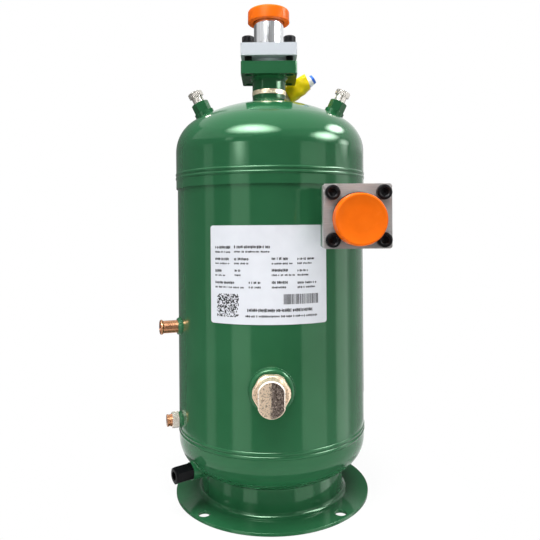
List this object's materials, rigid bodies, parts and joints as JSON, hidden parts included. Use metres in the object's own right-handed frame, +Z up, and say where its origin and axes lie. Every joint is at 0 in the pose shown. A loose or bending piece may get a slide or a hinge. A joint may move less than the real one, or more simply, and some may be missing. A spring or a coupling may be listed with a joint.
{
  "type": "refrigeration oil separator",
  "caption": "Upright green steel vessel on a foot ring with a tangential gas inlet, a flanged gas outlet on top, capped service valves and oil ports.",
  "frame": {"origin": "centre of the foot ring's underside, on the vessel axis", "axes": "+Z up along the vessel axis, -Y to the front where the label is, +X to the inlet's side"},
  "size_m": [0.2723, 0.3191, 0.6385],
  "materials": {
    "vessel_green": "gloss",
    "label_film": "satin",
    "bare_steel": "satin",
    "screw_black": "satin",
    "cap_orange": "satin",
    "gasket_fibre": "matte",
    "brass": "satin",
    "nickel_plate": "satin",
    "copper": "satin",
    "sleeve_yellow": "satin",
    "plug_blue": "gloss",
    "cap_black": "satin"
  },
  "bodies": {
    "vessel": {"foot_ring": "vessel_green", "bottom_head": "vessel_green", "shell": "vessel_green", "top_head": "vessel_green", "label": "label_film", "outlet_boss": "vessel_green", "outlet_seal_ring": "brass", "outlet_neck_flange": "vessel_green", "outlet_gasket": "gasket_fibre", "outlet_flange": "bare_steel", "outlet_stub": "bare_steel", "outlet_screws": "screw_black", "outlet_cap": "cap_orange", "inlet_neck_flange": "vessel_green", "inlet_gasket": "gasket_fibre", "inlet_flange": "bare_steel", "inlet_stub": "bare_steel", "inlet_screws": "screw_black", "inlet_cap": "cap_orange", "left_valve_body": "vessel_green", "left_valve_core": "brass", "right_valve_body": "vessel_green", "right_valve_core": "brass", "relief_nozzle": "vessel_green", "relief_valve": "brass", "relief_sleeve": "sleeve_yellow", "relief_plug": "plug_blue", "oil_collar": "vessel_green", "oil_tube": "copper", "port_boss": "vessel_green", "port_plug": "brass", "drain_nozzle": "vessel_green", "level_boss": "vessel_green", "level_washer": "copper", "level_plug": "nickel_plate", "gas_tube": "bare_steel", "baffle_plate": "bare_steel"},
    "left_cap": {"left_valve_cap": "nickel_plate"},
    "right_cap": {"right_valve_cap": "nickel_plate"},
    "drain_cap": {"drain_cap": "cap_black"}
  },
  "joints": [
    {"name": "left_cap_turn", "type": "hinge", "parent": "vessel", "child": "left_cap", "pos_m": [-0.09249, -0.01251, 0.51277], "axis": [-0.4235, -0.0573, 0.9041], "range_deg": [0, 330]},
    {"name": "right_cap_turn", "type": "hinge", "parent": "vessel", "child": "right_cap", "pos_m": [0.09249, -0.01251, 0.51277], "axis": [0.4235, -0.0573, 0.9041], "range_deg": [0, 330]},
    {"name": "drain_cap_turn", "type": "hinge", "parent": "vessel", "child": "drain_cap", "pos_m": [-0.09951, -0.0723, 0.05095], "axis": [-0.809, -0.5878, 0], "range_deg": [0, 330]}
  ]
}
